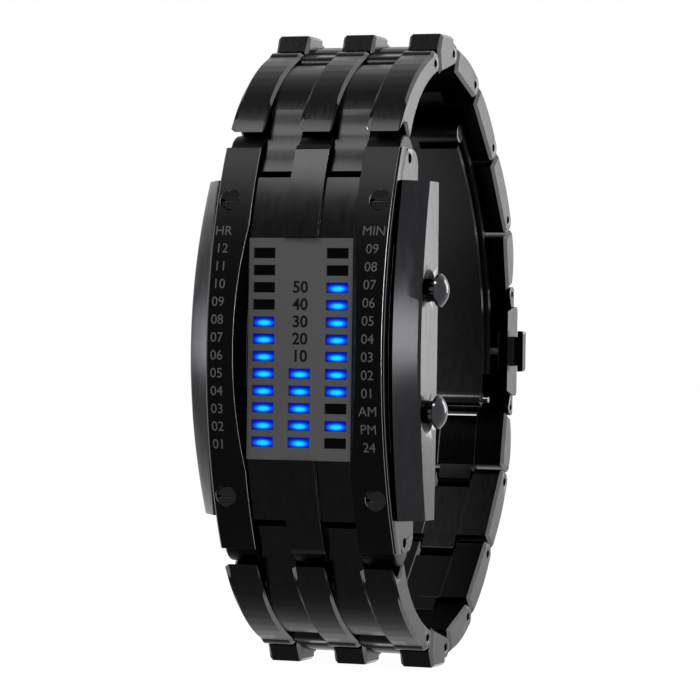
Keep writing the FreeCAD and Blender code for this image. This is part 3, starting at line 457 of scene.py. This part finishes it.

# Screws. Slotted cheese heads let a little into the rails' ends and, smaller, into the corners
# of the case back; turned steel, plated with the rest, with a painted highlight on the rims.
SCREW_ROUND = 0.08
RIM_LOW, RIM_HIGH = 0.2, 0.97
screw_steel = grained("plated_screw", (0.014, 0.014, 0.015), 0.14, size=4)
# A lighter copy of the plating: a faint painted highlight on the screws' rims and on the links' narrow
# bevels that face right.
faint_painted_highlight = grained("plated_rubbed_edge", (0.11, 0.11, 0.112), 0.16, size=1.2, relief=0.001)
for node, name in (("rail_screws", "rail_screw_set"), ("case_back_screws", "back_screw_set")):
    screws = dressed(node, name, screw_steel, SCREW_ROUND)
    screws.data.materials.append(faint_painted_highlight)
    for face in screws.data.polygons:
        if RIM_LOW < abs(face.normal.y) < RIM_HIGH:
            face.material_index = 1

# Guards. Solid wings screwed to the case's flanks from inside, with a cone sunk round each
# pusher; they are milled, polished along their length and plated.
GUARD_ROUND = 0.12
guard_steel = grained("plated_guard", (0.022, 0.022, 0.024), 0.2, grain=(1, 1, 0.1), size=1.5,
                      relief=0.001)
for side in ("left", "right"):
    guard = dressed("guard_" + side, "guard_wing_" + side, guard_steel, GUARD_ROUND)

# Pushers. Turned steel buttons on a sealed stem; a spring returns each one and a clip behind
# the case wall keeps it in.
BUTTON_ROUND = 0.05
pusher_steel = grained("plated_pusher", (0.04, 0.04, 0.043), 0.12)
seal_rubber = grained("black_seal", (0.02, 0.02, 0.02), 0.7, metallic=0.0)
bare_steel = grained("bare_spring_steel", (0.42, 0.42, 0.43), 0.3)


def finish_node(node, material):
    """A CAD node that is shown as it is, with its material."""
    piece = frame["nodes"][node]
    piece.data.materials.clear()
    piece.data.materials.append(material)


for half in ("upper", "lower"):
    head = dressed("pusher_" + half, "pusher_head_" + half, pusher_steel, BUTTON_ROUND)
    finish_node("pusher_seal_" + half, seal_rubber)
    finish_node("pusher_clip_" + half, bare_steel)
    finish_node("pusher_spring_" + half, bare_steel)

# Dial plate. A pressed plate with 29 windows, painted matte grey and printed with the tens of
# minutes in black, over a black baffle that keeps the lamps' light apart.
PLATE_ROUND = 0.04
PAINT_GLOSS = 0.15
WINDOW_PITCH_X = 4.534
WINDOW_PITCH_Z = 2.0
DIAL_RISE = 0.15
PLATE_DEPTH = 2.0 * MM
TENS_HEIGHT = 1.34 * MM
TENS_WEIGHT = 0.045 * MM
plate_paint = grained("grey_plate_paint", (0.033, 0.033, 0.034), 0.62, size=12, relief=0.004,
                      metallic=0.0)
plate_paint.node_tree.nodes["Principled BSDF"].inputs["Specular IOR Level"].default_value = PAINT_GLOSS
black_moulding = grained("black_moulding", (0.012, 0.012, 0.012), 0.5, size=4, metallic=0.0)
plate = dressed("display_panel", "dial_plate", plate_paint, PLATE_ROUND)
finish_node("light_baffle", black_moulding)

black_ink = ink("black_ink", (0.0015, 0.0015, 0.0015))
rows = []
for row, word in enumerate(("10", "20", "30", "40", "50")):
    z = ((row - 0.5) * WINDOW_PITCH_Z + DIAL_RISE) * MM
    rows.append(printed(word, TENS_HEIGHT, 0, z, PLATE_DEPTH - INK_THICKNESS / 2, black_ink,
                        weight=TENS_WEIGHT))
joined(rows, "numerals_tens", "case")

# Lamps. Blue light-emitting diodes sit low behind each window, so that a lit window is deep
# blue along its top and almost white-blue over the diode; the dark ones are smoked lenses.
CELLS_BEFORE = 20
DIODE_PLACE = (0.0, -0.12)
DIODE_REACH = (1.62, 0.60)
LENS_PLACE = (0.0, 0.0)
LENS_REACH = (1.6, 0.75)
GLOW_STOPS = ((0.0, (0.0, 0.78, 1.0)), (0.12, (0.0, 0.62, 1.0)), (0.30, (0.0, 0.13, 1.0)),
              (0.62, (0.0, 0.010, 0.62)), (0.95, (0.0, 0.0, 0.25)))
SMOKE_STOPS = ((0.55, (0.0004, 0.0004, 0.0005)), (0.75, (0.0012, 0.0012, 0.0014)))


def window_distance(tree, centre, reach):
    """0 at a place in each window and 1 at a distance from it, by the lamp's place on the grid."""
    place = tree.nodes.new("ShaderNodeTexCoord")
    split = tree.nodes.new("ShaderNodeSeparateXYZ")
    tree.links.new(place.outputs["Object"], split.inputs[0])
    squares = []
    for axis, pitch, start in (("X", WINDOW_PITCH_X, 0.5 - DIAL_X / MM / WINDOW_PITCH_X),
                               ("Z", WINDOW_PITCH_Z,
                                1.0 - (DIAL_Z / MM + DIAL_RISE) / WINDOW_PITCH_Z)):
        middle, span = centre[len(squares)], reach[len(squares)]
        cells = maths(tree, "MULTIPLY_ADD", split.outputs[axis], 1 / (pitch * MM),
                      start + CELLS_BEFORE)
        within = maths(tree, "FRACT", cells)
        away = maths(tree, "MULTIPLY_ADD", within, pitch / span, -(0.5 * pitch + middle) / span)
        squares.append(maths(tree, "POWER", away, 2.0))
    return maths(tree, "ADD", *squares)


lamp_glow, tree, shader = new_material("blue_lamp_glow")
ramp = colour_ramp(tree, GLOW_STOPS)
tree.links.new(window_distance(tree, DIODE_PLACE, DIODE_REACH), ramp.inputs["Fac"])
tree.links.new(ramp.outputs["Color"], shader.inputs["Emission Color"])
shader.inputs["Emission Strength"].default_value = 1.0
shader.inputs["Base Color"].default_value = (0.0, 0.005, 0.03, 1)
shader.inputs["Roughness"].default_value = 0.4
shader.inputs["Specular IOR Level"].default_value = 0.05
finish_node("lamps_lit", lamp_glow)

smoked_lens, tree, shader = new_material("smoked_lens")
ramp = colour_ramp(tree, SMOKE_STOPS)
tree.links.new(window_distance(tree, LENS_PLACE, LENS_REACH), ramp.inputs["Fac"])
tree.links.new(ramp.outputs["Color"], shader.inputs["Base Color"])
shader.inputs["Roughness"].default_value = 0.3
shader.inputs["Specular IOR Level"].default_value = 0.02
finish_node("lamps_dark", smoked_lens)

# Module. The lamps stand on a green circuit board with its driver chip; a black moulded holder
# carries two coin cells under a sprung brass contact strip.
board_green = grained("green_solder_mask", (0.01, 0.09, 0.04), 0.35, size=5, metallic=0.0)
cell_nickel = grained("nickelled_cell", (0.62, 0.62, 0.61), 0.22)
contact_brass = grained("sprung_brass", (0.60, 0.42, 0.16), 0.3)
finish_node("circuit_board", board_green)
finish_node("driver_chip", black_moulding)
finish_node("module_holder", black_moulding)
finish_node("battery_cells", cell_nickel)
finish_node("battery_clip", contact_brass)

# Case back. A pressed steel lid, brushed across, held by the four corner screws.
# It closes the module in and lies against the wrist.
BACK_ROUND = 0.12
back_steel = grained("plated_back", (0.03, 0.03, 0.033), 0.32, grain=(0.05, 1, 1), size=8,
                     relief=0.012)
back = dressed("case_back", "case_back_lid", back_steel, BACK_ROUND)

# Bracelet. Each link is a cast block with three raised outer bars and two recessed inner ones
# that hook round the next pin; the bars' faces are satin and their bevels polished, and the
# narrow bevels that face right carry a faint painted highlight.
LINK_ROUND = 0.06
FOOT_LINK_ROUND = 0.22
LINK_BEVEL = 0.6
LINKS = 6
END_LINK_BULGE = 1.3 * MM
END_LINK_CUTS = 9
bar_satin = grained("plated_bar_satin", (0.0062, 0.0062, 0.0064), 0.24, grain=(1, 0.2, 0.2),
                    size=3, relief=0.003)
bar_polish = grained("plated_bar_polish", BLACK, 0.15, grain=(1, 0.3, 0.3), size=0.6,
                     relief=0.001)
ground_steel = grained("ground_pin_steel", (0.20, 0.20, 0.21), 0.25)


def arch_end_link(link):
    """Arches an end link from pin to pin, as the cast one is, after cutting it across."""
    half = "upper" if "upper" in link.name else "lower"
    near = joint_place[f"link_{half}_1_turn"]
    far = joint_place[f"link_{half}_2_turn"]
    along = (far - near).normalized()
    outwards = Vector((0, -along.z, along.y)) * (1 if half == "upper" else -1)
    span = (far - near).length
    bpy.ops.object.mode_set(mode="EDIT")
    for cut in range(1, END_LINK_CUTS + 1):
        bpy.ops.mesh.select_all(action="SELECT")
        bpy.ops.mesh.bisect(plane_co=near + along * span * cut / (END_LINK_CUTS + 1),
                            plane_no=along)
    bpy.ops.object.mode_set(mode="OBJECT")
    for vertex in link.data.vertices:
        share = (vertex.co - near).dot(along) / span
        if 0 < share < 1:
            vertex.co += outwards * END_LINK_BULGE * 4 * share * (1 - share)


for half in ("upper", "lower"):
    for number in range(1, LINKS + 1):
        link = dressed(f"link_{half}_{number}", f"bracelet_link_{half}_{number}", bar_satin,
                       FOOT_LINK_ROUND if number == 2 else LINK_ROUND,
                       shape=arch_end_link if number == 1 else None)
        polish_flanks_paint_highlights(link, bar_polish, faint_painted_highlight, LINK_BEVEL)
        if number < LINKS:
            finish_node(f"pin_{half}_{number}", ground_steel)
finish_node("strap_pins", ground_steel)

# Clasp. A folded steel cover with a button let through each side wall; two thin pressed blades
# fold behind it on their hinge pins and end in the spring bar.
LID_ROUND = 0.10
BLADE_ROUND = 0.06
cover_steel = grained("plated_cover", BLACK, 0.2, grain=(1, 1, 0.2))
blade_steel = grained("plated_blade", (0.03, 0.03, 0.032), 0.3, grain=(1, 0.15, 0.15), size=6,
                      relief=0.008)
for node, name, material, rounding in (
        ("clasp_cover", "clasp_lid", cover_steel, LID_ROUND),
        ("clasp_blade_a", "clasp_blade_long", blade_steel, BLADE_ROUND),
        ("clasp_blade_b", "clasp_blade_short", blade_steel, BLADE_ROUND)):
    dressed(node, name, material, rounding)
for side in ("left", "right"):
    button = dressed("clasp_button_" + side, "clasp_push_" + side, pusher_steel, BUTTON_ROUND)
    finish_node("button_spring_" + side, bare_steel)
for node in ("cover_pins", "blade_pin_lower", "blade_pin_upper", "clasp_spring_bar"):
    finish_node(node, ground_steel)
